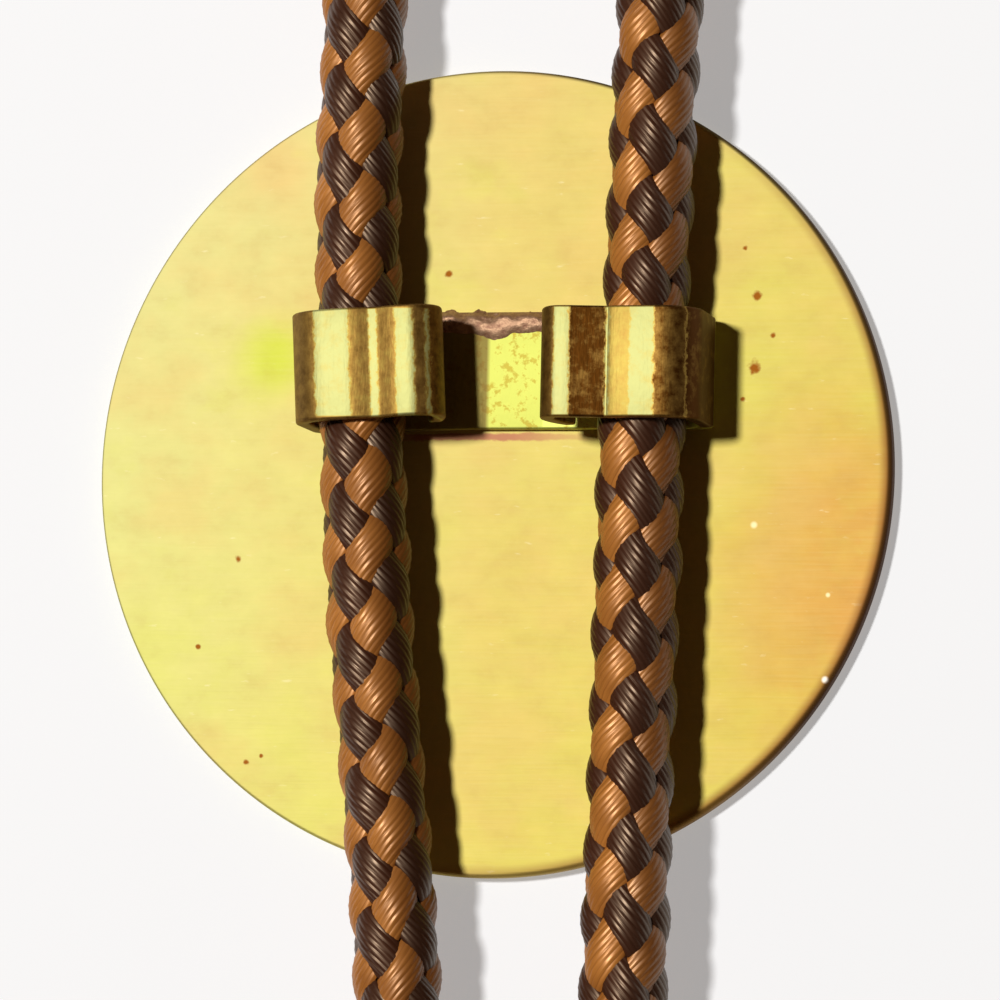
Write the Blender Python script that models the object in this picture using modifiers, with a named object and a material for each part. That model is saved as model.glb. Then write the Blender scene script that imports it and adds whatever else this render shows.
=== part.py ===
"""Bolo tie, lying on its face.

A round sheet brass slide carries a strip clip soldered on its back. One braided cord runs through the
clip's two loops: the neck loop lies beyond the slide towards +Y, and the two tails run towards -Y and
end in turned metal tips. The slide's front is down on z = 0, its centre is the origin, and its back
and the clip face up. Metres throughout.
"""

import math

import bmesh
import bpy
from mathutils import Matrix, Vector

# Slide
DISC_DIAMETER = 0.038
DISC_THICKNESS = 0.0012
RIM_ROUNDING = 0.00045
DISC_SIDES = 96

# Cord
CORD_DIAMETER = 0.004
CORD_POINTS = 80
CORD_SIDES_LEVEL = 3
CLEARANCE = 0.0003  # between the cord and the metal round it

# Clip: one strip whose two ends are bent up and over the cord
STRIP_WIDTH = 0.00515
STRIP_THICKNESS = 0.00065
CLIP_SPAN = 0.01935  # over the two outer walls
CLIP_X = 0.00111  # the clip's middle, from the disc's centre
CLIP_Y = 0.00453
LEFT_LOOP_WIDTH = 0.00712
RIGHT_LOOP_WIDTH = 0.00748
FOOT_RADIUS = 0.0010  # of the strip's middle line where it leaves the disc
SHOULDER_RADIUS = 0.0015  # of the strip's middle line at the top of the outer wall
LEFT_LOOP_TURN = math.radians(3.3)  # the left loop was bent a little askew
BASE_SINK = 0.00005  # how deep the solder lets the strip into the disc
LOOP_STATIONS = [
    # share of the way in from the shoulder to the lip's widest point, share of the way up from the base
    (0.00, 1.000),
    (0.22, 1.000),
    (0.45, 0.925),
    (0.79, 0.990),
    (0.94, 0.930),
    (1.00, 0.790),
    (0.98, 0.640),
    (0.94, 0.500),
    (0.88, 0.380),
]
STATION_STEPS = 4  # points drawn between two stations
ARC_STEPS = 6

# Solder left along the clip's upper edge
SOLDER_X = 0.0001  # its middle, from the disc's centre
SOLDER_LENGTH = 0.0060
SOLDER_WIDTH = 0.0018
SOLDER_HEIGHT = 0.0005  # above the disc

# Tips
TIP_LENGTH = 0.0285
TIP_MOUTH_DIAMETER = 0.0056
TIP_END_DIAMETER = 0.0038
TIP_LIP_ROUNDING = 0.0003
SOCKET_DEPTH = 0.0070
TIP_SIDES = 32

# The cord's middle line, left tip to right tip, in millimetres: x, y, z
CORD_ROUTE = [
    (-12.6, -149.0, 2.58),
    (-11.5, -142.4, 2.80),
    (-9.4, -127.0, 2.15),
    (-5.3, -88.0, 2.10),
    (-3.3, -60.0, 2.50),
    (-2.7, -42.0, 3.70),
    (-3.1, -25.0, 4.50),
    (-5.03, -6.0, 4.30),
    (-5.68, 4.5, 4.15),
    (-6.02, 13.0, 4.08),
    (-5.9, 22.0, 4.05),
    (-7.0, 38.0, 3.10),
    (-11.5, 57.0, 2.15),
    (-25.0, 90.0, 2.10),
    (-46.0, 132.0, 2.10),
    (-61.0, 176.0, 2.10),
    (-60.0, 211.0, 2.10),
    (-46.0, 238.0, 2.10),
    (-23.0, 254.5, 2.10),
    (4.0, 259.5, 2.10),
    (30.5, 253.0, 2.10),
    (52.0, 236.0, 2.10),
    (65.0, 209.0, 2.10),
    (65.5, 176.0, 2.10),
    (52.0, 132.0, 2.10),
    (30.0, 90.0, 2.10),
    (14.5, 57.0, 2.15),
    (9.5, 38.0, 3.10),
    (8.24, 22.0, 4.05),
    (7.96, 13.0, 4.08),
    (7.78, 4.5, 4.15),
    (7.7, -6.0, 4.30),
    (7.48, -25.0, 4.50),
    (7.3, -42.0, 3.70),
    (7.5, -60.0, 2.50),
    (9.5, -88.0, 2.10),
    (16.2, -127.0, 2.15),
    (20.0, -141.5, 2.80),
    (21.9, -148.0, 2.58),
]

# Fits worked out from the sizes above
DISC_BACK = DISC_THICKNESS
STRIP_HALF = STRIP_THICKNESS / 2
LOOP_RISE = CORD_DIAMETER + 2 * CLEARANCE + STRIP_THICKNESS  # between the strip's middle lines
LEFT_LOOP_EDGE = -CLIP_SPAN / 2 + LEFT_LOOP_WIDTH  # the left loop's inner face, from the clip's centre
TIP_BORE_DIAMETER = CORD_DIAMETER + 2 * CLEARANCE
TIP_END_RADIUS = TIP_END_DIAMETER / 2
TIP_TAPER_LENGTH = TIP_LENGTH - TIP_END_RADIUS
TIP_TILT = math.atan2((TIP_MOUTH_DIAMETER - TIP_END_DIAMETER) / 2, TIP_TAPER_LENGTH)


def clear_scene():
    for thing in list(bpy.data.objects):
        bpy.data.objects.remove(thing, do_unlink=True)


def new_collection(name):
    collection = bpy.data.collections.new(name)
    bpy.context.scene.collection.children.link(collection)
    return collection


def new_material(name, colour, roughness, metallic):
    material = bpy.data.materials.new(name)
    material.use_nodes = True
    shader = material.node_tree.nodes["Principled BSDF"]
    shader.inputs["Base Color"].default_value = (*colour, 1.0)
    shader.inputs["Roughness"].default_value = roughness
    shader.inputs["Metallic"].default_value = metallic
    return material


def new_object(name, data, collection, material=None):
    thing = bpy.data.objects.new(name, data)
    collection.objects.link(thing)
    if material:
        data.materials.append(material)
    return thing


def shade_smooth(mesh, degrees=35.0):
    mesh.shade_smooth()
    mesh.set_sharp_from_angle(angle=math.radians(degrees))


def make_tool(thing):
    thing.hide_render = True
    thing.display_type = "WIRE"


def smooth_line(points, steps):
    """Points along a centripetal Catmull-Rom curve, steps of them from each given point to the next."""
    given = [Vector(point) for point in points]
    given = [2 * given[0] - given[1], *given, 2 * given[-1] - given[-2]]
    line = []
    for i in range(1, len(given) - 2):
        a, b, c, d = given[i - 1 : i + 3]
        t1 = (b - a).length ** 0.5
        t2 = t1 + (c - b).length ** 0.5
        t3 = t2 + (d - c).length ** 0.5
        for step in range(steps):
            t = t1 + (t2 - t1) * step / steps
            ab = a.lerp(b, t / t1)
            bc = b.lerp(c, (t - t1) / (t2 - t1))
            cd = c.lerp(d, (t - t2) / (t3 - t2))
            abc = ab.lerp(bc, t / t2)
            bcd = bc.lerp(cd, (t - t1) / (t3 - t1))
            line.append(abc.lerp(bcd, (t - t1) / (t2 - t1)))
    return [*line, given[-2]]


def evenly_spaced(line, count):
    """count points at equal steps along a line."""
    lengths = [0.0]
    for a, b in zip(line, line[1:]):
        lengths.append(lengths[-1] + (b - a).length)
    spaced, i = [], 0
    for k in range(count):
        want = lengths[-1] * k / (count - 1)
        while i < len(line) - 2 and lengths[i + 1] < want:
            i += 1
        spaced.append(line[i].lerp(line[i + 1], (want - lengths[i]) / (lengths[i + 1] - lengths[i])))
    return spaced


def arc(centre, radius, start_degrees, end_degrees):
    angles = [
        math.radians(start_degrees + (end_degrees - start_degrees) * i / ARC_STEPS)
        for i in range(ARC_STEPS + 1)
    ]
    return [Vector((centre[0] + radius * math.cos(a), centre[1] + radius * math.sin(a))) for a in angles]


def loop_line(width):
    """The strip's middle line for one loop: x in from the outer wall's face, y up from the disc."""
    wall = STRIP_HALF
    base = STRIP_HALF - BASE_SINK
    top = base + LOOP_RISE
    inner = width - STRIP_HALF
    foot = arc((wall + FOOT_RADIUS, base + FOOT_RADIUS), FOOT_RADIUS, 270, 180)
    shoulder = arc((wall + SHOULDER_RADIUS, top - SHOULDER_RADIUS), SHOULDER_RADIUS, 180, 90)
    reach = inner - wall - SHOULDER_RADIUS
    stations = [
        (inner - (1 - across) * reach, base + up * LOOP_RISE, 0.0) for across, up in LOOP_STATIONS
    ]
    lip = [point.to_2d() for point in smooth_line(stations, STATION_STEPS)]
    return foot + shoulder + lip[1:]


def clip_line():
    """The whole strip's middle line in its own section, x along the strip and y up from the disc."""
    left = [Vector((-CLIP_SPAN / 2 + p.x, p.y)) for p in loop_line(LEFT_LOOP_WIDTH)]
    right = [Vector((CLIP_SPAN / 2 - p.x, p.y)) for p in loop_line(RIGHT_LOOP_WIDTH)]
    plate_start = Vector((LEFT_LOOP_EDGE + STRIP_THICKNESS, STRIP_HALF - BASE_SINK))
    return [*left[::-1], plate_start, *right]


def strip_outline(line):
    """The closed outline of a strip of even thickness round its middle line."""
    sides = ([], [])
    for i, point in enumerate(line):
        along = (line[min(i + 1, len(line) - 1)] - line[max(i - 1, 0)]).normalized()
        across = Vector((-along.y, along.x)) * STRIP_HALF
        sides[0].append(point + across)
        sides[1].append(point - across)
    return sides[0] + sides[1][::-1]


def turn_left_loop(mesh):
    """Turns the left loop about its own upright middle, as it was bent."""
    middle = Matrix.Translation((LEFT_LOOP_EDGE - LEFT_LOOP_WIDTH / 2, 0, 0))
    turn = middle @ Matrix.Rotation(LEFT_LOOP_TURN, 4, "Z") @ middle.inverted()
    for vertex in mesh.vertices:
        if vertex.co.x < LEFT_LOOP_EDGE + STRIP_HALF:
            vertex.co = turn @ vertex.co


def make_clip(collection):
    """The bent strip, standing on the disc's back. It is a tool that the slide is joined with."""
    outline = strip_outline(clip_line())
    curve = bpy.data.curves.new("clip_section", "CURVE")
    curve.dimensions = "2D"
    curve.fill_mode = "BOTH"
    curve.extrude = STRIP_WIDTH / 2
    spline = curve.splines.new("POLY")
    spline.points.add(len(outline) - 1)
    for spot, point in zip(spline.points, outline):
        spot.co = (point.x, point.y, 0.0, 1.0)
    spline.use_cyclic_u = True
    drawn = new_object("clip_section", curve, collection)
    bpy.context.view_layer.update()
    mesh = bpy.data.meshes.new_from_object(drawn.evaluated_get(bpy.context.evaluated_depsgraph_get()))
    bpy.data.objects.remove(drawn)
    mesh.transform(Matrix.Rotation(math.radians(90), 4, "X"))
    turn_left_loop(mesh)
    body = bmesh.new()
    body.from_mesh(mesh)
    bmesh.ops.remove_doubles(body, verts=body.verts, dist=1e-6)
    bmesh.ops.recalc_face_normals(body, faces=body.faces)
    body.to_mesh(mesh)
    body.free()
    clip = new_object("clip_tool", mesh, collection)
    clip.location = (CLIP_X, CLIP_Y, DISC_BACK)
    make_tool(clip)
    return clip


def make_solder(collection):
    """A low mound of solder along the strip's upper edge."""
    body = bmesh.new()
    bmesh.ops.create_uvsphere(body, u_segments=16, v_segments=8, radius=1.0)
    mesh = bpy.data.meshes.new("solder_tool")
    body.to_mesh(mesh)
    body.free()
    mesh.transform(Matrix.Diagonal((SOLDER_LENGTH / 2, SOLDER_WIDTH / 2, SOLDER_HEIGHT, 1.0)))
    solder = new_object("solder_tool", mesh, collection)
    solder.location = (SOLDER_X, CLIP_Y + STRIP_WIDTH / 2, DISC_BACK)
    make_tool(solder)
    return solder


def make_slide(parts, tools, material):
    """Disc, clip and solder as one solid."""
    body = bmesh.new()
    bmesh.ops.create_cone(
        body,
        cap_ends=True,
        segments=DISC_SIDES,
        radius1=DISC_DIAMETER / 2,
        radius2=DISC_DIAMETER / 2,
        depth=DISC_THICKNESS,
    )
    bmesh.ops.translate(body, verts=body.verts, vec=(0, 0, DISC_THICKNESS / 2))
    mesh = bpy.data.meshes.new("slide")
    body.to_mesh(mesh)
    body.free()
    shade_smooth(mesh)
    slide = new_object("slide", mesh, parts, material)
    rounding = slide.modifiers.new("rim", "BEVEL")
    rounding.width = RIM_ROUNDING
    rounding.segments = 3
    rounding.limit_method = "ANGLE"
    rounding.angle_limit = math.radians(60)
    for tool in (make_clip(tools), make_solder(tools)):
        joined = slide.modifiers.new(tool.name, "BOOLEAN")
        joined.operation = "UNION"
        joined.solver = "EXACT"
        joined.object = tool
    return slide


def cord_line():
    """The cord's middle line in metres."""
    return [point / 1000 for point in smooth_line(CORD_ROUTE, 12)]


def make_cord(parts, material):
    points = evenly_spaced(cord_line(), CORD_POINTS)
    curve = bpy.data.curves.new("cord", "CURVE")
    curve.dimensions = "3D"
    curve.bevel_depth = CORD_DIAMETER / 2
    curve.bevel_resolution = CORD_SIDES_LEVEL
    curve.use_fill_caps = True
    spline = curve.splines.new("POLY")
    spline.points.add(len(points) - 1)
    for spot, point in zip(spline.points, points):
        spot.co = (*point, 1.0)
    return new_object("cord", curve, parts, material)


def tip_profile():
    """Down the tip's section, from the socket's floor out over the mouth to the closed end."""
    bore = TIP_BORE_DIAMETER / 2
    mouth = TIP_MOUTH_DIAMETER / 2
    lip = TIP_LIP_ROUNDING
    profile = [(0.0, -SOCKET_DEPTH), (bore, -SOCKET_DEPTH), (bore, 0.0), (mouth - lip, 0.0)]
    profile += [(mouth - lip * 0.3, -lip * 0.3), (mouth, -lip)]
    for i in range(ARC_STEPS + 1):
        angle = math.radians(90) * i / ARC_STEPS
        profile.append(
            (TIP_END_RADIUS * math.cos(angle), -TIP_TAPER_LENGTH - TIP_END_RADIUS * math.sin(angle))
        )
    profile[-1] = (0.0, profile[-1][1])
    return profile


def make_tip(name, mouth, end, parts, material):
    """A turned tip lying on its side, its mouth at one point of the cord and its axis towards another."""
    profile = tip_profile()
    mesh = bpy.data.meshes.new(name)
    mesh.from_pydata(
        [(x, 0.0, z) for x, z in profile], [(i, i + 1) for i in range(len(profile) - 1)], []
    )
    tip = new_object(name, mesh, parts, material)
    turned = tip.modifiers.new("turned", "SCREW")
    turned.axis = "Z"
    turned.angle = math.radians(360)
    turned.steps = TIP_SIDES
    turned.render_steps = TIP_SIDES
    turned.use_merge_vertices = True
    turned.merge_threshold = 1e-5
    turned.use_smooth_shade = True
    heading = Vector((end.x - mouth.x, end.y - mouth.y, 0)).normalized() * math.cos(TIP_TILT)
    heading.z = -math.sin(TIP_TILT)
    tip.rotation_mode = "QUATERNION"
    tip.rotation_quaternion = heading.to_track_quat("-Z", "Y")
    tip.location = (mouth.x, mouth.y, TIP_MOUTH_DIAMETER / 2 * math.cos(TIP_TILT))
    return tip


def point_back(line, distance):
    """The point that lies a distance along a line from its start."""
    for a, b in zip(line, line[1:]):
        step = (b - a).length
        if distance < step:
            return a.lerp(b, distance / step)
        distance -= step
    return line[-1]


def make_bolo_tie():
    clear_scene()
    parts = new_collection("bolo_tie")
    tools = new_collection("tools")
    brass = new_material("brass", (0.80, 0.62, 0.25), 0.32, 1.0)
    tip_brass = new_material("tip_brass", (0.72, 0.55, 0.23), 0.30, 1.0)
    braid = new_material("braid", (0.16, 0.07, 0.035), 0.55, 0.0)
    make_slide(parts, tools, brass)
    make_cord(parts, braid)
    line = cord_line()
    held = SOCKET_DEPTH - CLEARANCE  # the cord stops just short of the socket's floor
    for name, run in (("tip_left", line), ("tip_right", line[::-1])):
        make_tip(name, point_back(run, held), run[0], parts, tip_brass)


make_bolo_tie()
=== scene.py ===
"""Looks of the bolo tie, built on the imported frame.

The slide lies on its face and its back is up. Every length here is in millimetres unless its name ends
in _M, and meshes are scaled to metres when they are made.
"""

import math

import bmesh
import bpy
import numpy as np
from mathutils import Matrix, Vector, noise

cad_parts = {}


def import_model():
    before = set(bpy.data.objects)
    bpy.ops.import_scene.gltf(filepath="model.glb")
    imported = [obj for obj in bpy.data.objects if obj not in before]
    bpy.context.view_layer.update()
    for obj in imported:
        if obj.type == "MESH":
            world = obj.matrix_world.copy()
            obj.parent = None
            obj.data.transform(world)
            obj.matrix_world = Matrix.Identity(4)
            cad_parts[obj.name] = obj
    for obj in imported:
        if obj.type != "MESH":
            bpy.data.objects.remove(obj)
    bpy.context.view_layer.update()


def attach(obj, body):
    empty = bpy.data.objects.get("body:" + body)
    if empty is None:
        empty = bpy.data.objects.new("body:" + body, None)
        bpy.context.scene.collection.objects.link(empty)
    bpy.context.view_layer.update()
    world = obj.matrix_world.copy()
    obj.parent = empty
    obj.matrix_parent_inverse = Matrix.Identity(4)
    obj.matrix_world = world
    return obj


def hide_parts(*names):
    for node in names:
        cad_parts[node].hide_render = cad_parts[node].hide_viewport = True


MM = 0.001

# Slide
DISC_RADIUS = 19.0
DISC_THICKNESS = 1.2
DISC_SIDES = 256
FLAT_RING = 0.6  # share of the radius, a ring of points that keeps the flat faces' shading even
RIM_ROUNDING = 0.45
RIM_SHARPEST = 0.10  # of the back's edge, which is worn unevenly
RIM_ROUNDEST = 0.30
RIM_WORN_TOWARDS = math.radians(-25)  # from +X
RIM_WEAR_POWER = 1.5  # how fast the wear fades on the way round
RIM_STEPS = 8
RIM_MARGIN = 0.05  # from the rounding to the next ring of points
SPECKS = [
    # brown spots on the back: x, y, radius
    (-2.26, 9.36, 0.16),
    (12.50, 8.22, 0.20),
    (12.42, 4.90, 0.27),
    (13.29, 6.34, 0.13),
    (11.89, 10.48, 0.11),
    (11.88, 3.40, 0.12),
    (-12.18, -4.11, 0.15),
    (-14.02, -8.29, 0.11),
    (-11.54, -13.70, 0.12),
    (-10.82, -13.41, 0.09),
]
BRIGHT_SPECKS = [
    # x, y, radius
    (12.55, -2.48, 0.22),
    (16.09, -5.73, 0.15),
]
# painted glint, a near-white spot on the rim: x, y, radius
RIM_GLINT = (16.02, -9.66, 0.22)

# Clip
STRIP_WIDTH = 5.15
STRIP_THICKNESS = 0.65
STRIP_EDGE_ROUNDING = 0.12
CLIP_SPAN = 19.35
CLIP_X = 1.11
CLIP_Y = 4.53
LEFT_LOOP_WIDTH = 7.12
RIGHT_LOOP_WIDTH = 7.48
FOOT_RADIUS = 1.0
SHOULDER_RADIUS = 1.5
LOOP_RISE = 5.25
BASE_SINK = 0.05  # how deep the solder lets the strip into the disc
FOOT_STEPS = 10
SHOULDER_STEPS = 12
LIP_STEPS = 10  # from one station to the next
EDGE_STEPS = 4
PLATE_POINTS = 4  # along the flat stretch
PLATE_STEP = 1.1
REFLECTION_BANDS = [
    # painted reflections and shade: brown bands across the loops where the bends reflect dark
    # surroundings, and the right loop's outer wall, which faces away from the light, darkest: from x, to
    # x, depth of the brown
    (-9.00, -7.20, 0.70),
    (-5.53, -4.62, 0.62),
    (-4.22, -3.33, 0.62),
    (-2.46, -1.95, 0.72),
    (-1.80, -0.50, 0.80),
    (2.50, 4.16, 0.74),
    (4.90, 6.55, 0.96),
    (6.72, 7.70, 0.42),
    (8.85, 10.25, 0.88),
    (10.25, 11.50, 1.00),
]
REFLECTION_BAND_EDGE = 0.06  # half the width of a band's edge
REFLECTION_BAND_WAVER = 0.55  # how far the edge wanders
LEFT_LOOP_TURN = math.radians(3.3)
LEFT_STATIONS = [
    # share of the way in from the shoulder to the lip's widest point, share of the way up from the base
    (0.000, 1.000),
    (0.216, 1.000),
    (0.297, 0.985),
    (0.410, 0.950),
    (0.440, 0.947),
    (0.495, 0.947),
    (0.530, 0.951),
    (0.659, 0.985),
    (0.709, 0.992),
    (0.820, 0.990),
    (0.880, 0.965),
    (0.961, 0.905),
    (1.000, 0.800),
    (0.980, 0.640),
    (0.940, 0.500),
    (0.880, 0.380),
]
RIGHT_STATIONS = [
    # share of the way in, share of the way up
    (0.000, 1.000),
    (0.202, 1.000),
    (0.389, 0.985),
    (0.417, 0.972),
    (0.430, 0.970),
    (0.455, 0.970),
    (0.480, 0.976),
    (0.740, 1.028),
    (0.775, 1.036),
    (0.830, 1.040),
    (0.885, 1.036),
    (0.930, 1.000),
    (0.970, 0.930),
    (1.000, 0.820),
    (0.985, 0.640),
    (0.945, 0.500),
    (0.890, 0.380),
]

# Solder that creeps from the disc over the strip's upper edge
SOLDER_X = (-2.9, 3.1)
SOLDER_Y = (5.7, 7.8)
SOLDER_COLUMNS, SOLDER_ROWS = 90, 40
SOLDER_THICKNESS = 0.24
SOLDER_SINK = 0.06  # of its edges, into the metal under it
SOLDER_HIDDEN = 0.1  # further down, where there is none
SOLDER_SETBACK = 0.12  # of its middle, inside the strip's edge
SOLDER_TONGUE = (0.1, 0.7, 0.30)  # x, half width and reach of the drop that runs down the strip
SOLDER_WANDER = 0.18
SOLDER_SPREAD = 0.56  # half its width
SOLDER_RAGGED = 0.34
SOLDER_WAVES = 1.1  # of its roughness, to the millimetre
SOLDER_FOOT = 0.60  # past the strip's edge, where it comes down to the disc
SOLDER_SLOPE = 0.5
SOLDER_DEPTH = 0.2  # of its underside, below the disc's back

# Cord
BRAID_PITCH = 3.28  # along the cord, from one cell of a column to the next
BRAID_MIDDLE = 1.63  # radius of the strands' middle line
BRAID_WAVE = 0.16  # how far a strand rises and dips
STRAND_THICKNESS = 0.50
STRANDS = 4  # of each colour
STRAND_EDGE = -0.30  # the outer face at a strand's edge, as a share of the half thickness
STRAND_CROWN_POWER = 2.4  # how square a strand's section is
STRAND_UNEVEN = ((0.03, 1.9, 1.0), (0.03, 4.3, 1.7))  # height, waves and start of its high and low places
STRAND_STRAY = (0.07, 1.3, 2.3)  # the same for its way to the side, as an angle
THREADS = 8  # side by side in a strand
THREAD_RELIEF = 0.030
THREAD_MEAN = 0.64  # share of the relief where the threads aren't drawn
CORE_RADIUS = 1.30
CORE_SIDES = 10
FINE_REACH = 36.0  # along the cord from the clip, where each thread is drawn
FINE = (8, 3 * THREADS)  # rows to a cell, columns across a strand
COARSE = (5, 6)
SETTLED = 30.0  # along the cord from the clip, where the pattern keeps its place
LEFT_COLUMN = math.radians(20.7)  # of a tan column at the left loop, from straight up towards the side
RIGHT_COLUMN = math.radians(30.8)
LEFT_CELL = 1.12  # of a tan cell's middle, along the cord from the clip's middle
RIGHT_CELL = 0.95
CORD_ROUTE = [
    (-12.6, -149.0, 2.58),
    (-11.5, -142.4, 2.80),
    (-9.4, -127.0, 2.15),
    (-5.3, -88.0, 2.10),
    (-3.3, -60.0, 2.50),
    (-2.7, -42.0, 3.70),
    (-3.1, -25.0, 4.50),
    (-5.03, -6.0, 4.30),
    (-5.68, 4.5, 4.15),
    (-6.02, 13.0, 4.08),
    (-5.9, 22.0, 4.05),
    (-7.0, 38.0, 3.10),
    (-11.5, 57.0, 2.15),
    (-25.0, 90.0, 2.10),
    (-46.0, 132.0, 2.10),
    (-61.0, 176.0, 2.10),
    (-60.0, 211.0, 2.10),
    (-46.0, 238.0, 2.10),
    (-23.0, 254.5, 2.10),
    (4.0, 259.5, 2.10),
    (30.5, 253.0, 2.10),
    (52.0, 236.0, 2.10),
    (65.0, 209.0, 2.10),
    (65.5, 176.0, 2.10),
    (52.0, 132.0, 2.10),
    (30.0, 90.0, 2.10),
    (14.5, 57.0, 2.15),
    (9.5, 38.0, 3.10),
    (8.24, 22.0, 4.05),
    (7.96, 13.0, 4.08),
    (7.78, 4.5, 4.15),
    (7.7, -6.0, 4.30),
    (7.48, -25.0, 4.50),
    (7.3, -42.0, 3.70),
    (7.5, -60.0, 2.50),
    (9.5, -88.0, 2.10),
    (16.2, -127.0, 2.15),
    (20.0, -141.5, 2.80),
    (21.9, -148.0, 2.58),
]

# Tips
TIP_LENGTH = 28.5
TIP_MOUTH_DIAMETER = 5.6
TIP_END_DIAMETER = 3.8
TIP_BORE_DIAMETER = 4.6
TIP_LIP_ROUNDING = 0.3
TIP_LIP_STEPS = 5
TIP_CHAMFER = 0.15  # at the mouth's inner edge
TIP_END_TURN = -84  # degrees of the round end that are drawn before its last point
TIP_END_STEPS = 14
TIP_SIDES = 72
SHARP_DEGREES = 40
SOCKET_DEPTH = 7.0
CLEARANCE = 0.3

# Camera, as the photo sees the slide: 21.37 pixels to the millimetre on the disc's back
TARGET = Vector((0.438, -1.318, 1.2))
TOWARDS_CAMERA = Vector((0.2233, -0.0949, 0.9701))
CAMERA_RIGHT = Vector((0.97475, 0.02174, -0.22224))
CAMERA_DISTANCE = 320.0
FRAME_WIDTH = 46.806
SENSOR_WIDTH_M = 0.036
CAMERA_SEES_M = (0.01, 10.0)

# Light and floor
KEY_TOWARDS = (-0.23, 0.11, 1.0)
KEY_DISTANCE_M = 0.9
KEY_SIZE_M = 0.09
KEY_POWER = 7.4
KEY_COLOUR = (1.0, 0.985, 0.955)
SURROUNDINGS = (0.060, 0.036, 0.024, 1.0)
FLOOR_REACH_M = 3.0  # to each side of the middle
FLOOR_DROP_M = 0.0001


# ---- helpers for meshes


def smooth_line(points, steps):
    """Points along a centripetal Catmull-Rom curve, steps of them from each given point to the next."""
    given = [Vector(point) for point in points]
    given = [2 * given[0] - given[1], *given, 2 * given[-1] - given[-2]]
    line = []
    for i in range(1, len(given) - 2):
        a, b, c, d = given[i - 1 : i + 3]
        t1 = (b - a).length ** 0.5
        t2 = t1 + (c - b).length ** 0.5
        t3 = t2 + (d - c).length ** 0.5
        for step in range(steps):
            t = t1 + (t2 - t1) * step / steps
            ab = a.lerp(b, t / t1)
            bc = b.lerp(c, (t - t1) / (t2 - t1))
            cd = c.lerp(d, (t - t2) / (t3 - t2))
            abc = ab.lerp(bc, t / t2)
            bcd = bc.lerp(cd, (t - t1) / (t3 - t1))
            line.append(abc.lerp(bcd, (t - t1) / (t2 - t1)))
    return [*line, given[-2]]


def arc(centre, radius, start, end, steps):
    angles = [math.radians(start + (end - start) * i / steps) for i in range(steps + 1)]
    return [Vector((centre[0] + radius * math.cos(a), centre[1] + radius * math.sin(a))) for a in angles]


def grid_faces(rows, columns, start=0, closed=False):
    """Quads of a grid of points that are listed row by row. The rows of a closed one are rings."""
    faces = []
    for r in range(rows - 1):
        for c in range(columns if closed else columns - 1):
            beside = (c + 1) % columns
            corners = ((r, c), (r, beside), (r + 1, beside), (r + 1, c))
            faces.append(tuple(start + row * columns + column for row, column in corners))
    return faces


def add_to_scene(name, data):
    thing = bpy.data.objects.new(name, data)
    bpy.context.scene.collection.objects.link(thing)
    return thing


def new_piece(name, points, faces, materials, replaces, material_indices=None, flat=()):
    """A mesh piece from points in millimetres, riding on the frame. flat lists faces left unsmoothed."""
    mesh = bpy.data.meshes.new(name)
    mesh.from_pydata([tuple(c * MM for c in p) for p in points], [], faces)
    for material in materials:
        mesh.materials.append(material)
    smooth = np.ones(len(mesh.polygons), bool)
    smooth[list(flat)] = False
    mesh.polygons.foreach_set("use_smooth", smooth)
    if material_indices is not None:
        mesh.polygons.foreach_set("material_index", material_indices)
    mesh.update()
    piece = add_to_scene(name, mesh)
    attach(piece, "root")
    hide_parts(*replaces)
    return piece


def fix_normals(piece):
    body = bmesh.new()
    body.from_mesh(piece.data)
    bmesh.ops.recalc_face_normals(body, faces=body.faces)
    body.to_mesh(piece.data)
    body.free()


# ---- helpers for materials


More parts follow.
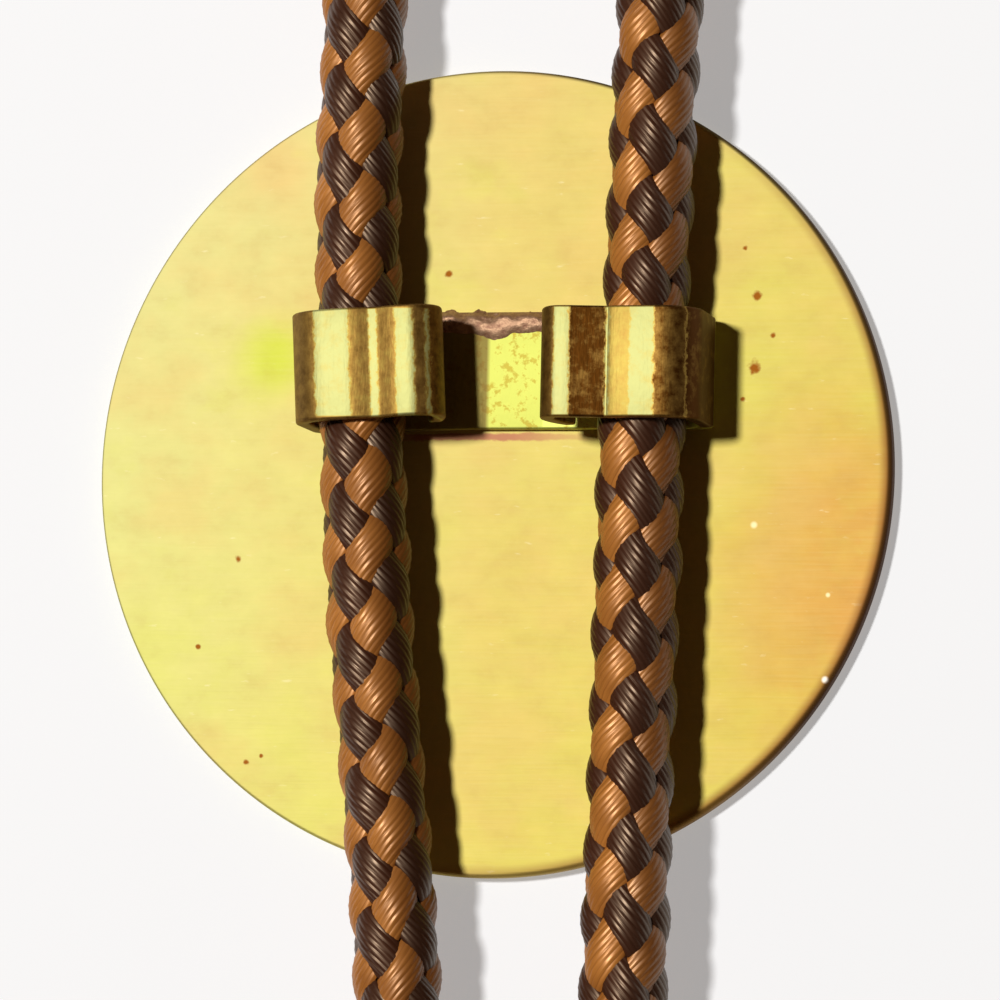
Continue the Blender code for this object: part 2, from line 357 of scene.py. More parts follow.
class Shader:
    """A node material that is written as a short list of calls."""

    def __init__(self, name):
        self.material = bpy.data.materials.new(name)
        self.material.use_nodes = True
        self.tree = self.material.node_tree
        self.surface = self.tree.nodes["Principled BSDF"]
        self.points = None

    def node(self, kind, inputs=(), output=0, **settings):
        made = self.tree.nodes.new(kind)
        for key, value in settings.items():
            setattr(made, key, value)
        for key, value in dict(inputs).items():
            self.feed(made.inputs[key], value)
        return made.outputs[output]

    def feed(self, socket, value):
        if isinstance(value, bpy.types.NodeSocket):
            self.tree.links.new(value, socket)
        else:
            socket.default_value = value

    def set(self, **values):
        for key, value in values.items():
            self.feed(self.surface.inputs[key.replace("_", " ")], value)

    def place(self, scale=(1.0, 1.0, 1.0)):
        """The point in the row frame, in millimetres, stretched by scale."""
        if self.points is None:
            self.points = self.node("ShaderNodeTexCoord", output=3)
        factors = tuple(f / MM for f in scale)
        return self.node("ShaderNodeVectorMath", {0: self.points, 1: factors}, operation="MULTIPLY")

    def split(self, vector):
        return self.node("ShaderNodeSeparateXYZ", {0: vector}).node.outputs

    def noise(self, scale, stretch=(1.0, 1.0, 1.0), detail=3.0, roughness=0.55, vector=None, shift=0.0):
        vector = vector or self.place(stretch)
        if shift:
            vector = self.node("ShaderNodeVectorMath", {0: vector, 1: (shift,) * 3}, operation="ADD")
        inputs = {"Vector": vector, "Scale": scale, "Detail": detail, "Roughness": roughness}
        return self.node("ShaderNodeTexNoise", inputs)

    def math(self, operation, a, b=0.0, c=0.0, clamp=False):
        return self.node("ShaderNodeMath", {0: a, 1: b, 2: c}, operation=operation, use_clamp=clamp)

    def span(self, value, low, high, to_low=0.0, to_high=1.0, smooth=False):
        return self.node(
            "ShaderNodeMapRange",
            {"Value": value, "From Min": low, "From Max": high, "To Min": to_low, "To Max": to_high},
            interpolation_type="SMOOTHSTEP" if smooth else "LINEAR",
        )

    def mix(self, share, a, b, blend="MIX"):
        a = (*a, 1.0) if isinstance(a, tuple) and len(a) == 3 else a
        b = (*b, 1.0) if isinstance(b, tuple) and len(b) == 3 else b
        return self.node("ShaderNodeMix", {0: share, 6: a, 7: b}, 2, data_type="RGBA", blend_type=blend)

    def ramp(self, value, stops):
        """A colour that follows value through a list of positions and colours."""
        output = self.node("ShaderNodeValToRGB", {"Fac": value})
        elements = output.node.color_ramp.elements
        for element, (position, colour) in zip(elements, (stops[0], stops[-1])):
            element.position, element.color = position, (*colour, 1.0)
        for position, colour in stops[1:-1]:
            elements.new(position).color = (*colour, 1.0)
        return output

    def distance(self, point):
        """How far the point in hand is from a given one, in millimetres."""
        return self.node("ShaderNodeVectorMath", {0: self.place(), 1: point}, 1, operation="DISTANCE")

    def bump(self, height, distance, strength, under=None):
        inputs = {"Height": height, "Distance": distance * MM, "Strength": strength}
        if under is not None:
            inputs["Normal"] = under
        return self.node("ShaderNodeBump", inputs)


# ---- materials

# The sheet from the disc's left to its right, pale yellow at the left and warmer to the right as a painted
# warm reflection, and the tints over its lower and upper part
SHEET_SPAN = (-14.0, 23.0)
SHEET_COLOURS = (
    (0.0, (0.63, 0.60, 0.235)),
    (0.5, (0.63, 0.525, 0.158)),
    (1.0, (0.61, 0.52, 0.112)),
)
LOW_TINT, HIGH_TINT = (1.0, 1.03, 0.88), (1.0, 0.985, 1.15)
STAINS_AND_REFLECTIONS = [
    # x, y, inner radius, outer radius, waver of the edge, strength, colour
    # painted warm reflection over the right side
    (20.5, -6.0, 3.0, 13.0, 7.0, 1.0, (0.62, 0.35, 0.088)),
    # painted glare
    (-10.6, 5.4, 0.2, 2.9, 1.2, 0.8, (0.55, 0.61, 0.045)),
    # a peach stain
    (-10.5, 14.6, 0.4, 2.4, 1.0, 0.3, (0.70, 0.42, 0.17)),
]
VEILS = [
    # pattern, where it starts, where it is full, strength, colour
    ("cloud", 0.48, 0.66, 0.30, (0.66, 0.45, 0.17)),
    ("cloud", 0.46, 0.32, 0.25, (0.61, 0.63, 0.12)),
    ("grain", 0.35, 0.70, 0.10, (0.70, 0.64, 0.32)),
    ("mottle", 0.55, 0.80, 0.16, (0.56, 0.36, 0.12)),
    ("fleck", 0.68, 0.78, 0.35, (0.80, 0.74, 0.50)),
]
RESIDUE_COLOUR = (0.50, 0.24, 0.13)
SPECK_COLOUR = (0.33, 0.11, 0.012)
BRIGHT_SPECK_COLOUR = (0.80, 0.72, 0.42)
GLINT_COLOUR = (0.95, 0.88, 0.78)
RIM_SHADE_BROWN = (0.26, 0.095, 0.022)
RIM_SHADE_LINE_COLOUR = (0.045, 0.016, 0.007)

# The strip by the depth of its brown, painted reflection and shade on the loops and brown on its cut
# edges, and its flat stretch on the disc
STRIP_SHADES = (
    (0.0, (0.55, 0.55, 0.225)),
    (0.35, (0.50, 0.38, 0.085)),
    (0.65, (0.38, 0.225, 0.052)),
    (1.0, (0.085, 0.030, 0.004)),
)
PLATE_BRIGHT, PLATE_FLAKE, PLATE_SHADY = (0.66, 0.69, 0.165), (0.50, 0.38, 0.05), (0.20, 0.12, 0.04)

SOLDER_DARK, SOLDER_PALE = (0.26, 0.12, 0.065), (0.64, 0.41, 0.25)
TIP_PALE, TIP_DEEP = (0.72, 0.55, 0.23), (0.60, 0.42, 0.16)
CORE_DARK, CORE_PALE = (0.012, 0.006, 0.004), (0.03, 0.015, 0.01)
FLOOR_PALE, FLOOR_DEEP = (0.61, 0.62, 0.64), (0.59, 0.60, 0.62)
FLOOR_GLOW = 0.36

# A yarn's colour and darker tone, which also gives the painted shade in the grooves and on the cord's
# right side, its roughness, the share of its gloss that takes the colour, and the strength of the gloss
TAN_YARN = ((0.50, 0.188, 0.034), (0.19, 0.054, 0.007), 0.38, 0.12, 1.0)
DARK_YARN = ((0.050, 0.014, 0.006), (0.025, 0.007, 0.003), 0.38, 0.0, 0.85)
YARN_GLOSS_TINT = (1.0, 0.73, 0.50, 1.0)


def sheet_brass():
    """Rolled sheet with a straight grain, tinted, with a painted warm reflection and a painted glare,
    stained and specked on its back, brown with painted shade round its rim.
    """
    s = Shader("sheet_brass")
    x, y, _ = s.split(s.place())
    drift = s.math("MULTIPLY_ADD", s.noise(0.11, detail=2.0), 9.0, s.math("MULTIPLY", y, -0.03))
    tint = s.mix(s.span(y, -17.0, 17.0), LOW_TINT, HIGH_TINT)
    # painted reflection: pale yellow at the disc's left, warmer towards its right
    colour = s.ramp(s.span(s.math("ADD", x, drift), *SHEET_SPAN), SHEET_COLOURS)
    colour = s.mix(1.0, colour, tint, "MULTIPLY")

    def near(px, py, inner, outer, waver=0.0):
        """1 within inner of a point on the disc's back, 0 past outer, with an uneven edge."""
        away = s.distance((px, py, DISC_THICKNESS))
        if waver:
            away = s.math("MULTIPLY_ADD", s.noise(0.16, detail=4.0), waver, away)
        return s.span(away, inner + waver / 2, outer + waver / 2, 1.0, 0.0, smooth=True)

    # a stain, and the painted warm reflection and glare
    for px, py, inner, outer, waver, strength, stain_and_reflection in STAINS_AND_REFLECTIONS:
        share = s.math("MULTIPLY", near(px, py, inner, outer, waver), strength)
        colour = s.mix(share, colour, stain_and_reflection)
    patterns = {
        "grain": s.noise(1.0, (0.35, 9.0, 1.0), detail=4.0),
        "mottle": s.noise(0.7, (0.7, 1.0, 1.0), detail=5.0, roughness=0.65),
        "cloud": s.noise(0.2, (1.0, 1.3, 1.0), detail=4.0, shift=2.0),
        "fleck": s.noise(2.2, (0.5, 1.6, 1.0), detail=3.0, shift=11.0),
    }
    for pattern, low, high, strength, veil in VEILS:
        colour = s.mix(s.span(patterns[pattern], low, high, 0.0, strength), colour, veil)

    # what the solder left along the clip's lower edge
    residue = s.noise(1.6, (0.6, 1.0, 1.0), detail=5.0, roughness=0.7, shift=4.0)
    line = CLIP_Y - STRIP_WIDTH / 2 - 0.3
    off_line = s.math("ABSOLUTE", s.math("SUBTRACT", y, line))
    reach = s.math("ADD", s.math("MULTIPLY", off_line, -2.6), 0.75)
    ends = s.math("MULTIPLY", s.span(x, -4.9, -3.6), s.span(x, 1.0, 6.0, 1.0, 0.0))
    crust = s.math("MULTIPLY", s.span(s.math("ADD", reach, residue), 0.72, 0.95), ends)
    colour = s.mix(crust, colour, RESIDUE_COLOUR)

    speck_grain = s.noise(2.5, detail=3.0)
    for px, py, radius in SPECKS:
        edge = s.math("MULTIPLY_ADD", speck_grain, -2.2 * radius, s.distance((px, py, DISC_THICKNESS)))
        spot = s.span(edge, -0.6 * radius, 0.3 * radius, 1.0, 0.0, smooth=True)
        colour = s.mix(spot, colour, SPECK_COLOUR)

    # painted shade: the rounded edge is browned towards the side where it is worn round, the right and
    # lower right, which faces away from the light
    out = s.node("ShaderNodeVectorMath", {0: s.place((1.0, 1.0, 0.0))}, 1, operation="LENGTH")
    worn = (math.cos(RIM_WORN_TOWARDS), math.sin(RIM_WORN_TOWARDS), 0.0)
    towards = s.node("ShaderNodeVectorMath", {0: s.place(), 1: worn}, 1, operation="DOT_PRODUCT")
    rim_shade = s.math("MULTIPLY", s.span(out, 18.30, 18.85, smooth=True), s.span(towards, 2.0, 15.0))
    colour = s.mix(s.math("MULTIPLY", rim_shade, 0.8), colour, RIM_SHADE_BROWN)
    # painted shade: a dark line along the edge at the top and right
    dark_side = s.span(s.math("MULTIPLY_ADD", y, 0.36, x), 3.0, 11.0, 0.0, 0.9)
    rim_line = s.math("MULTIPLY", s.span(out, 18.78, 18.97), dark_side)
    colour = s.mix(rim_line, colour, RIM_SHADE_LINE_COLOUR)
    for px, py, radius in BRIGHT_SPECKS:
        colour = s.mix(near(px, py, 0.3 * radius, radius), colour, BRIGHT_SPECK_COLOUR)
    # painted glint: a near-white spot on the rim
    px, py, radius = RIM_GLINT
    colour = s.mix(near(px, py, 0.06, radius), colour, GLINT_COLOUR)
    s.set(
        Base_Color=colour,
        Metallic=1.0,
        Roughness=s.span(patterns["mottle"], 0.3, 0.7, 0.67, 0.69),
        Normal=s.bump(patterns["grain"], 0.02, 0.35),
    )
    return s.material


def strip_brass():
    """Rolled brass, painted with pale bands of reflection on the bends and brown bands of shade and dark
    reflection between them, and brown on the cut edges.
    """
    s = Shader("strip_brass")
    x, y, z = s.split(s.place())
    plate = s.span(z, 2.0, 2.5, 1.0, 0.0)
    fine = s.noise(3.4, (1.0, 0.6, 1.0), detail=5.0, roughness=0.7)
    mottle = s.noise(1.7, detail=5.0, roughness=0.7, shift=5.0)
    dents = s.noise(1.1, (1.0, 0.7, 1.0), detail=3.0, shift=7.0)
    scratch = s.noise(1.0, (7.0, 1.2, 2.0), detail=4.0)
    turned = s.math("MULTIPLY", s.math("SUBTRACT", y, CLIP_Y), math.tan(LEFT_LOOP_TURN))
    level = s.math("ADD", x, s.math("MULTIPLY", turned, s.span(x, -1.0, 2.0, 1.0, 0.0)))
    level = s.math("ADD", level, s.math("MULTIPLY", s.math("SUBTRACT", fine, 0.5), REFLECTION_BAND_WAVER))
    cut = s.math("ABSOLUTE", s.math("SUBTRACT", y, CLIP_Y))
    brown = s.span(cut, STRIP_WIDTH / 2 - 0.10, STRIP_WIDTH / 2 - 0.02, 0.0, 0.8)
    # painted reflection and shade bands
    for first, last, depth in REFLECTION_BANDS:
        band = s.math(
            "MULTIPLY",
            s.span(level, first - REFLECTION_BAND_EDGE, first + REFLECTION_BAND_EDGE, 0.0, depth),
            s.span(level, last - REFLECTION_BAND_EDGE, last + REFLECTION_BAND_EDGE, 1.0, 0.0),
        )
        brown = s.math("MAXIMUM", brown, band)
    brown = s.math("ADD", brown, s.span(mottle, 0.35, 0.70, -0.10, 0.16), clamp=True)
    flat = s.mix(s.span(mottle, 0.54, 0.62, 0.0, 0.8), PLATE_BRIGHT, PLATE_FLAKE)
    # painted shadow of the left loop on the plate's left end
    flat = s.mix(s.span(x, -0.22, -0.02, 0.8, 0.0), flat, PLATE_SHADY)
    s.set(
        Base_Color=s.mix(plate, s.ramp(brown, STRIP_SHADES), flat),
        Metallic=1.0,
        Roughness=s.math("MULTIPLY_ADD", plate, 0.04, s.span(brown, 0.0, 1.0, 0.64, 0.54)),
        Normal=s.bump(scratch, 0.03, 0.35, s.bump(dents, 0.1, 0.35)),
    )
    return s.material


def solder_metal():
    s = Shader("solder_metal")
    mottle = s.noise(3.0, detail=5.0, roughness=0.7)
    s.set(
        Base_Color=s.mix(s.span(mottle, 0.35, 0.7), SOLDER_DARK, SOLDER_PALE),
        Metallic=s.span(mottle, 0.3, 0.7, 0.4, 0.9),
        Roughness=0.5,
        Normal=s.bump(mottle, 0.1, 0.6),
    )
    return s.material


def strand(name, colour, dark, gloss, silk, shine):
    """Glossy filaments side by side along a flat strand."""
    s = Shader(name)
    u, v, _ = s.split(s.node("ShaderNodeUVMap", uv_map="strand"))
    thread = s.math("ABSOLUTE", s.math("SINE", s.math("MULTIPLY", u, THREADS * math.pi)))
    u_wide, v_wide = s.math("MULTIPLY", u, 26.0), s.math("MULTIPLY", v, 1.2)
    fibre = s.noise(1.0, vector=s.node("ShaderNodeCombineXYZ", {0: u_wide, 1: v_wide}))
    patch = s.noise(0.35, detail=2.0)
    # painted shade: darker in the grooves between the threads
    tone = s.mix(s.span(thread, 0.0, 0.4), s.mix(0.5, dark, colour), colour)
    tone = s.mix(s.span(fibre, 0.4, 0.75, 0.0, 0.3), tone, tuple(1.6 * c for c in colour))
    tone = s.mix(s.span(patch, 0.35, 0.7, 0.0, 0.55), tone, dark)
    # painted shade: the cord's right side is darker than its left, as it turns away from the light
    side = s.split(s.node("ShaderNodeUVMap", uv_map="side"))[0]
    tone = s.mix(s.span(side, 0.48, 0.9, 0.0, 0.85), tone, s.mix(0.5, dark, (0.0, 0.0, 0.0)))
    height = s.math("ADD", s.math("MULTIPLY", thread, 0.6), s.math("MULTIPLY", fibre, 0.5))
    s.set(
        Base_Color=tone,
        Metallic=silk,
        Roughness=s.span(fibre, 0.3, 0.7, gloss - 0.05, gloss + 0.07),
        Normal=s.bump(height, 0.04, 0.8),
        Specular_IOR_Level=shine,
        Specular_Tint=YARN_GLOSS_TINT,
    )
    return s.material


def core_yarn():
    s = Shader("core_yarn")
    s.set(Base_Color=s.mix(s.noise(2.0), CORE_DARK, CORE_PALE), Roughness=0.8)
    return s.material


def turned_brass():
    s = Shader("turned_brass")
    s.set(
        Base_Color=s.mix(s.noise(0.8), TIP_PALE, TIP_DEEP),
        Metallic=1.0,
        Roughness=s.span(s.noise(3.0), 0.3, 0.7, 0.25, 0.38),
    )
    return s.material


def pale_floor():
    """A pale table that is lit a little from below, so shadows on it stay light."""
    s = Shader("pale_floor")
    s.set(
        Base_Color=s.mix(s.noise(0.02), FLOOR_PALE, FLOOR_DEEP),
        Roughness=0.9,
        Emission_Color=(1.0, 1.0, 1.0, 1.0),
        Emission_Strength=FLOOR_GLOW,
    )
    return s.material


# ---- cord


class Route:
    """The cord's middle line by distance from its left end, with a direction up and one to the side."""

    STEP = 0.25
    STEPS = 24  # from one given point to the next
    SMOOTHED = 9  # steps that a direction is the mean of
    NEAR_SLIDE = 60.0  # before and behind it

    def __init__(self, points):
        line = np.array([tuple(p) for p in smooth_line(points, self.STEPS)])
        run = np.concatenate([[0.0], np.cumsum(np.linalg.norm(np.diff(line, axis=0), axis=1))])
        self.length = run[-1]
        self.s = np.linspace(0.0, self.length, int(self.length / self.STEP) + 1)
        self.points = np.stack([np.interp(self.s, run, line[:, k]) for k in range(3)], 1)
        along = np.gradient(self.points, self.s, axis=0)
        kernel = np.ones(self.SMOOTHED) / self.SMOOTHED
        for k in range(3):
            padded = np.pad(along[:, k], self.SMOOTHED // 2, mode="edge")
            along[:, k] = np.convolve(padded, kernel, "valid")
        self.along = along / np.linalg.norm(along, axis=1)[:, None]
        side = np.cross(self.along, (0.0, 0.0, 1.0))
        self.side = side / np.linalg.norm(side, axis=1)[:, None]
        self.up = np.cross(self.side, self.along)

    def at(self, values, s):
        return np.stack([np.interp(s, self.s, values[:, k]) for k in range(3)], -1)

    def point(self, s):
        return self.at(self.points, np.float64(s))

    def around(self, s, angle, radius):
        """Points at an angle and a distance from the middle line."""
        s = np.broadcast_to(s[:, None], angle.shape)
        up, side = np.cos(angle)[..., None], np.sin(angle)[..., None]
        across = up * self.at(self.up, s) + side * self.at(self.side, s)
        return self.at(self.points, s) + radius[..., None] * across

    def where(self, y, right):
        """The distance along the cord at which one side of it passes y."""
        half = self.points[:, 0] > 0 if right else self.points[:, 0] < 0
        near = half & (np.abs(self.points[:, 1]) < self.NEAR_SLIDE)
        away = np.where(near, np.abs(self.points[:, 1] - y), np.inf)
        return float(self.s[int(np.argmin(away))])


def ease(share):
    share = np.clip(share, 0.0, 1.0)
    return share * share * (3 - 2 * share)


class Braid:
    """Where the eight strands lie on the cord. The pattern is settled at both loops of the clip."""

    def __init__(self, route):
        self.route = route
        left, right = route.where(CLIP_Y, False), route.where(CLIP_Y, True)
        share = ease((route.s - left - SETTLED) / (right - left - 2 * SETTLED))
        phase = (route.s - left - LEFT_CELL) / BRAID_PITCH
        slip = (right + RIGHT_CELL - left - LEFT_CELL) / BRAID_PITCH
        self.phase = phase - (slip - round(slip)) * share
        self.turn = LEFT_COLUMN + (RIGHT_COLUMN - LEFT_COLUMN) * share
        self.left, self.right = left, right

    def rows(self, start, end, steps):
        """Distances along the cord from start to end, steps of them to a cell."""
        first, last = np.interp([start, end], self.route.s, self.phase)
        phases = np.linspace(first, last, max(2, int(round((last - first) * steps)) + 1))
        return np.interp(phases, self.phase, self.route.s)

    def strand(self, s, index, tan, columns):
        """A strand's outer face as a grid of points, their places across and along, and on which side,
        which the painted shade on the cord's right side reads.
        """
        across = np.linspace(-0.5, 0.5, columns + 1)[None, :]
        phase = np.interp(s, self.route.s, self.phase)[:, None]
        turn = np.interp(s, self.route.s, self.turn)[:, None]
        hand = 1.0 if tan else -1.0
        wave = hand * np.cos(2 * math.pi * phase + hand * math.pi * across)
        angle = (index + across + hand * phase) * math.pi / 2 + turn
        crown = STRAND_EDGE + (1 - STRAND_EDGE) * (1 - np.abs(2 * across) ** STRAND_CROWN_POWER)
        start = 2.1 * index + (0.7 if tan else 0.0)  # so that no two strands are uneven alike
        uneven = sum(high * np.sin(waves * phase + at * start) for high, waves, at in STRAND_UNEVEN)
        stray, waves, at = STRAND_STRAY
        angle = angle + stray * np.sin(waves * phase + at * start)
        drawn = columns >= 3 * THREADS
        ridge = np.abs(np.sin(math.pi * THREADS * (across + 0.5))) if drawn else THREAD_MEAN
        relief = THREAD_RELIEF * (0.3 + 0.7 * ease((wave + 0.3) / 0.8))
        radius = BRAID_MIDDLE + BRAID_WAVE * wave + STRAND_THICKNESS / 2 * crown + uneven + relief * ridge
        grid = self.route.around(s, angle, radius)
        places = (np.broadcast_to(values, angle.shape) for values in (across + 0.5, phase))
        middle = self.route.at(self.route.points, s)
        side = (grid[..., 0] - middle[:, None, 0]) / radius
        return grid, np.stack(list(places), -1), np.stack([0.5 + 0.5 * side, np.zeros(side.shape)], -1)


def cord_piece(name, braid, stretches, materials):
    """Eight strands round a core. stretches lists start, end, rows to a cell and columns across."""
    points, places, sides, faces, yarns = [], [], [], [], []
    for start, end, steps, columns in stretches:
        s = braid.rows(start, end, steps)
        for tan in (True, False):
            for index in range(STRANDS):
                grid, place, side = braid.strand(s, index, tan, columns)
                made = grid_faces(len(s), columns + 1, start=len(points))
                points += grid.reshape(-1, 3).tolist()
                places += (place + (0.0, 3.1 * index)).reshape(-1, 2).tolist()
                sides += side.reshape(-1, 2).tolist()
                faces += made
                yarns += [0 if tan else 1] * len(made)
        sparse = s[:: max(1, steps // 2)]
        if s[-1] not in sparse:
            sparse = np.append(sparse, s[-1])
        ring = np.linspace(0, 2 * math.pi, CORE_SIDES, endpoint=False)
        angle = np.broadcast_to(ring, (len(sparse), CORE_SIDES))
        tube = braid.route.around(sparse, angle, np.full(angle.shape, CORE_RADIUS))
        made = grid_faces(len(sparse), CORE_SIDES, start=len(points), closed=True)
        points += tube.reshape(-1, 3).tolist()
        places += [(0.0, 0.0)] * angle.size
        sides += [(0.0, 0.0)] * angle.size
        faces += made
        yarns += [2] * len(made)
    piece = new_piece(name, points, faces, materials, ("cord",), yarns)
    order = np.zeros(len(piece.data.loops), np.int32)
    piece.data.loops.foreach_get("vertex_index", order)
    # the side layer holds how far round to the right each point is, for the painted shade
    for layer, values in (("strand", places), ("side", sides)):
        made = piece.data.uv_layers.new(name=layer)
        made.data.foreach_set("uv", np.array(values)[order].astype(np.float32).ravel())
    return piece


# ---- slide


def make_disc(material):
    """The round plate, with a rim that is worn round more on one side of its back."""
    sides, low, flat = DISC_SIDES, RIM_ROUNDING, DISC_RADIUS * FLAT_RING
    rings = 2 * (RIM_STEPS + 1) + 4
    points = [(0.0, 0.0, 0.0)] * (1 + rings * sides)
    for k in range(sides):
        a = 2 * math.pi * k / sides
        worn = 0.5 + 0.5 * math.cos(a - RIM_WORN_TOWARDS)
        high = RIM_SHARPEST + (RIM_ROUNDEST - RIM_SHARPEST) * worn**RIM_WEAR_POWER
        line = [(flat, 0.0), (DISC_RADIUS - low - RIM_MARGIN, 0.0)]
        line += arc((DISC_RADIUS - low, low), low, -90, 0, RIM_STEPS)
        line += arc((DISC_RADIUS - high, DISC_THICKNESS - high), high, 0, 90, RIM_STEPS)
        line += [(DISC_RADIUS - high - RIM_MARGIN, DISC_THICKNESS), (flat, DISC_THICKNESS)]
        for i, (r, z) in enumerate(line):
            points[1 + i * sides + k] = (r * math.cos(a), r * math.sin(a), z)
    faces = [f[::-1] for f in grid_faces(rings, sides, start=1, closed=True)]
    points.append((0.0, 0.0, DISC_THICKNESS))
    last = len(points) - 1
    top = 1 + (rings - 1) * sides
    faces += [(0, 1 + (k + 1) % sides, 1 + k) for k in range(sides)]
    faces += [(last, top + k, top + (k + 1) % sides) for k in range(sides)]
    piece = new_piece("disc", points, faces, [material], ("slide",))
    fix_normals(piece)


def loop_line(width, table):
    """The strip's middle line for one loop: x in from the outer wall's face, y up from the disc."""
    half = STRIP_THICKNESS / 2
    base = half - BASE_SINK
    top = base + LOOP_RISE
    inner = width - half
    foot = arc((half + FOOT_RADIUS, base + FOOT_RADIUS), FOOT_RADIUS, 270, 180, FOOT_STEPS)
    bend = (half + SHOULDER_RADIUS, top - SHOULDER_RADIUS)
    shoulder = arc(bend, SHOULDER_RADIUS, 180, 90, SHOULDER_STEPS)
    reach = inner - half - SHOULDER_RADIUS
    stations = [(inner - (1 - across) * reach, base + up * LOOP_RISE, 0.0) for across, up in table]
    lip = [point.to_2d() for point in smooth_line(stations, LIP_STEPS)]
    return foot + shoulder + lip[1:]


def make_clip(material):
    """The strip, swept with rounded edges along its bent line."""
    edge = -CLIP_SPAN / 2 + LEFT_LOOP_WIDTH
    left = [Vector((-CLIP_SPAN / 2 + p.x, p.y)) for p in loop_line(LEFT_LOOP_WIDTH, LEFT_STATIONS)]
    right = [Vector((CLIP_SPAN / 2 - p.x, p.y)) for p in loop_line(RIGHT_LOOP_WIDTH, RIGHT_STATIONS)]
    base = STRIP_THICKNESS / 2 - BASE_SINK
    start = edge + STRIP_THICKNESS
    plate = [Vector((start + i * PLATE_STEP, base)) for i in range(PLATE_POINTS)]
    line = [*left[::-1], *plate, *right]
    section = []
    rounding = STRIP_EDGE_ROUNDING
    w, h = STRIP_WIDTH / 2 - rounding, STRIP_THICKNESS / 2 - rounding
    for corner, turned in (((w, h), 0), ((-w, h), 90), ((-w, -h), 180), ((w, -h), 270)):
        section += arc(corner, rounding, turned, turned + 90, EDGE_STEPS)
    points = []
    middle = edge - LEFT_LOOP_WIDTH / 2
    for i, p in enumerate(line):
        along = (line[min(i + 1, len(line) - 1)] - line[max(i - 1, 0)]).normalized()
        out = Vector((-along.y, along.x))
        for q in section:
            x, y, z = p.x + out.x * q.y, q.x, p.y + out.y * q.y
            if x < edge + STRIP_THICKNESS / 2:
                dx = x - middle
                x = middle + dx * math.cos(LEFT_LOOP_TURN) - y * math.sin(LEFT_LOOP_TURN)
                y = dx * math.sin(LEFT_LOOP_TURN) + y * math.cos(LEFT_LOOP_TURN)
            points.append((CLIP_X + x, CLIP_Y + y, DISC_THICKNESS + z))
    n = len(section)
    faces = grid_faces(len(line), n, closed=True)
    ends = (len(faces), len(faces) + 1)
    faces += [tuple(range(n)), tuple(range(len(points) - n, len(points)))]
    piece = new_piece("clip", points, faces, [material], ("slide",), flat=ends)
    fix_normals(piece)


def make_solder(material):
    """A ragged fillet that creeps from the disc over the strip's upper edge."""
    columns, rows = SOLDER_COLUMNS, SOLDER_ROWS
    strip_top = DISC_THICKNESS + STRIP_THICKNESS - BASE_SINK
    far = CLIP_Y + STRIP_WIDTH / 2
    drop_x, drop_width, drop_reach = SOLDER_TONGUE
    upper, lower = [], []
    for r in range(rows):
        for c in range(columns):
            u, v = c / (columns - 1), r / (rows - 1)
            x = SOLDER_X[0] + (SOLDER_X[1] - SOLDER_X[0]) * u
            y = SOLDER_Y[0] + (SOLDER_Y[1] - SOLDER_Y[0]) * v
            rough = noise.fractal(Vector((x * SOLDER_WAVES, y * SOLDER_WAVES, 3.0)), 1.0, 2.0, 4)
            drop = drop_reach * math.exp(-(((x - drop_x) / drop_width) ** 2))
            middle = far - SOLDER_SETBACK - drop + SOLDER_WANDER * rough
            body = 1 - ((y - middle) / (SOLDER_SPREAD + SOLDER_RAGGED * rough)) ** 2
            ends = 1 - (2 * abs(u - 0.5)) ** 6
            slope = float(ease((far + SOLDER_FOOT - y) / SOLDER_SLOPE))
            height = DISC_THICKNESS + (strip_top - DISC_THICKNESS) * slope - SOLDER_SINK
            height += SOLDER_THICKNESS * body * ends if body > 0 else -SOLDER_HIDDEN
            upper.append((x, y, height))
            lower.append((x, y, DISC_THICKNESS - SOLDER_DEPTH))
    points = upper + lower
    n = len(upper)
    faces = grid_faces(rows, columns)
    faces += [f[::-1] for f in grid_faces(rows, columns, start=n)]
    border = [(r * columns + c, (r + 1) * columns + c) for r in range(rows - 1) for c in (0, columns - 1)]
    border += [(r * columns + c, r * columns + c + 1) for c in range(columns - 1) for r in (0, rows - 1)]
    faces += [(a, b, n + b, n + a) for a, b in border]
    piece = new_piece("solder", points, faces, [material], ("slide",))
    fix_normals(piece)


# ---- tips


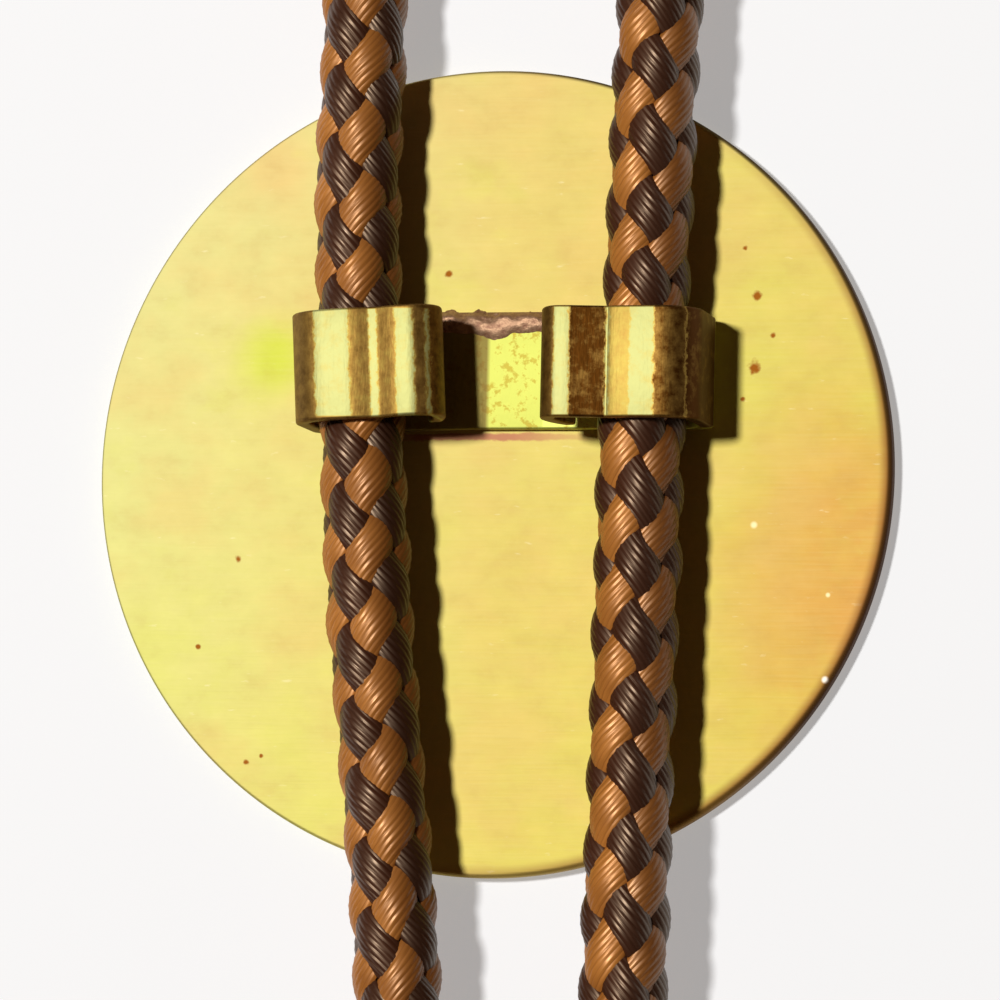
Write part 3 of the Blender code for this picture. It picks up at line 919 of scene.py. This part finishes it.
def make_tip(name, mouth, end, material, replaces):
    """A turned tip with a socket, lying on the floor. mouth and end are the ends of the cord in it."""
    bore, wide, lip, sides = TIP_BORE_DIAMETER / 2, TIP_MOUTH_DIAMETER / 2, TIP_LIP_ROUNDING, TIP_SIDES
    end_radius = TIP_END_DIAMETER / 2
    taper = TIP_LENGTH - end_radius
    tilt = math.atan2(wide - end_radius, taper)
    profile = [(bore, -SOCKET_DEPTH), (bore, -TIP_CHAMFER), (bore + TIP_CHAMFER, 0.0)]
    profile += arc((wide - lip, -lip), lip, 90, 0, TIP_LIP_STEPS)
    profile += arc((0.0, -taper), end_radius, 0, TIP_END_TURN, TIP_END_STEPS)
    heading = Vector((end[0] - mouth[0], end[1] - mouth[1], 0)).normalized() * math.cos(tilt)
    heading.z = -math.sin(tilt)
    turn = heading.to_track_quat("-Z", "Y")
    start = Vector((mouth[0], mouth[1], wide * math.cos(tilt)))
    points = [start + turn @ Vector((0, 0, -SOCKET_DEPTH))]
    for r, z in profile:
        for k in range(sides):
            a = 2 * math.pi * k / sides
            points.append(start + turn @ Vector((r * math.cos(a), r * math.sin(a), z)))
    points.append(start + turn @ Vector((0, 0, -TIP_LENGTH)))
    last, rim = len(points) - 1, 1 + (len(profile) - 1) * sides
    faces = grid_faces(len(profile), sides, start=1, closed=True)
    faces += [(0, 1 + k, 1 + (k + 1) % sides) for k in range(sides)]
    faces += [(last, rim + (k + 1) % sides, rim + k) for k in range(sides)]
    piece = new_piece(name, points, faces, [material], replaces)
    fix_normals(piece)
    piece.data.set_sharp_from_angle(angle=math.radians(SHARP_DEGREES))
    return piece


# ---- camera, light and floor


def make_camera():
    lens = bpy.data.cameras.new("camera")
    lens.sensor_width = SENSOR_WIDTH_M / MM
    lens.lens = lens.sensor_width * CAMERA_DISTANCE / FRAME_WIDTH
    lens.clip_start, lens.clip_end = CAMERA_SEES_M
    camera = add_to_scene("camera", lens)
    away = TOWARDS_CAMERA.normalized()
    right = (CAMERA_RIGHT - CAMERA_RIGHT.dot(away) * away).normalized()
    turn = Matrix((right, away.cross(right), away)).transposed()
    place = Matrix.Translation((TARGET + away * CAMERA_DISTANCE) * MM)
    camera.matrix_world = place @ turn.to_4x4()
    bpy.context.scene.camera = camera


def make_key_light():
    lamp = bpy.data.lights.new("key", "AREA")
    lamp.shape = "DISK"
    lamp.size = KEY_SIZE_M
    lamp.energy = KEY_POWER
    lamp.color = KEY_COLOUR
    light = add_to_scene("key", lamp)
    way = Vector(KEY_TOWARDS).normalized()
    light.location = way * KEY_DISTANCE_M
    light.rotation_mode = "QUATERNION"
    light.rotation_quaternion = way.to_track_quat("Z", "Y")


def make_surroundings():
    world = bpy.data.worlds.new("studio")
    world.use_nodes = True
    background = world.node_tree.nodes["Background"]
    background.inputs["Color"].default_value = SURROUNDINGS
    background.inputs["Strength"].default_value = 1.0
    bpy.context.scene.world = world
    bpy.context.scene.view_settings.view_transform = "Standard"


def make_floor():
    mesh, far = bpy.data.meshes.new("floor"), FLOOR_REACH_M
    corners = [(-far, -far), (far, -far), (far, far), (-far, far)]
    mesh.from_pydata([(x, y, -FLOOR_DROP_M) for x, y in corners], [], [(0, 1, 2, 3)])
    mesh.materials.append(pale_floor())
    add_to_scene("floor", mesh)


# ---- the scene


def make_cord(braid):
    """The whole cord in three pieces, which meet in the clip's loops. Returns its two tails."""
    yarns = [strand("tan_strand", *TAN_YARN), strand("dark_strand", *DARK_YARN), core_yarn()]
    left, right, length = braid.left, braid.right, braid.route.length
    before = [(0.0, left - FINE_REACH, *COARSE), (left - FINE_REACH, left, *FINE)]
    between = [
        (left, left + FINE_REACH, *FINE),
        (left + FINE_REACH, right - FINE_REACH, *COARSE),
        (right - FINE_REACH, right, *FINE),
    ]
    after = [(right, right + FINE_REACH, *FINE), (right + FINE_REACH, length, *COARSE)]
    tail_left = cord_piece("tail_left", braid, before, yarns)
    cord_piece("neck_loop", braid, between, yarns)
    return tail_left, cord_piece("tail_right", braid, after, yarns)


def declare_tail(route, start, end, right):
    """Works out where the tail leaves the clip and points along its way from start to end, and keeps
    neither. The neck loop is held at both ends.
    """
    leaves = route.where(CLIP_Y - STRIP_WIDTH / 2, right)
    tuple(route.point(leaves) * MM)
    (route.point(np.linspace(start, end, 120)) * MM).tolist()


def main():
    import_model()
    make_camera()
    make_disc(sheet_brass())
    make_clip(strip_brass())
    make_solder(solder_metal())
    route = Route(CORD_ROUTE)
    braid = Braid(route)
    tail_left, tail_right = make_cord(braid)
    metal = turned_brass()
    first, last = route.point(0.0), route.point(route.length)
    held = SOCKET_DEPTH - CLEARANCE  # of the cord, in a socket
    mouths = route.point(held), route.point(route.length - held)
    tip_left = make_tip("tip_left_turned", mouths[0], first, metal, ("tip_left",))
    tip_right = make_tip("tip_right_turned", mouths[1], last, metal, ("tip_right",))
    declare_tail(route, braid.left, 0.0, False)
    declare_tail(route, braid.right, route.length, True)
    make_key_light()
    make_surroundings()
    make_floor()


main()
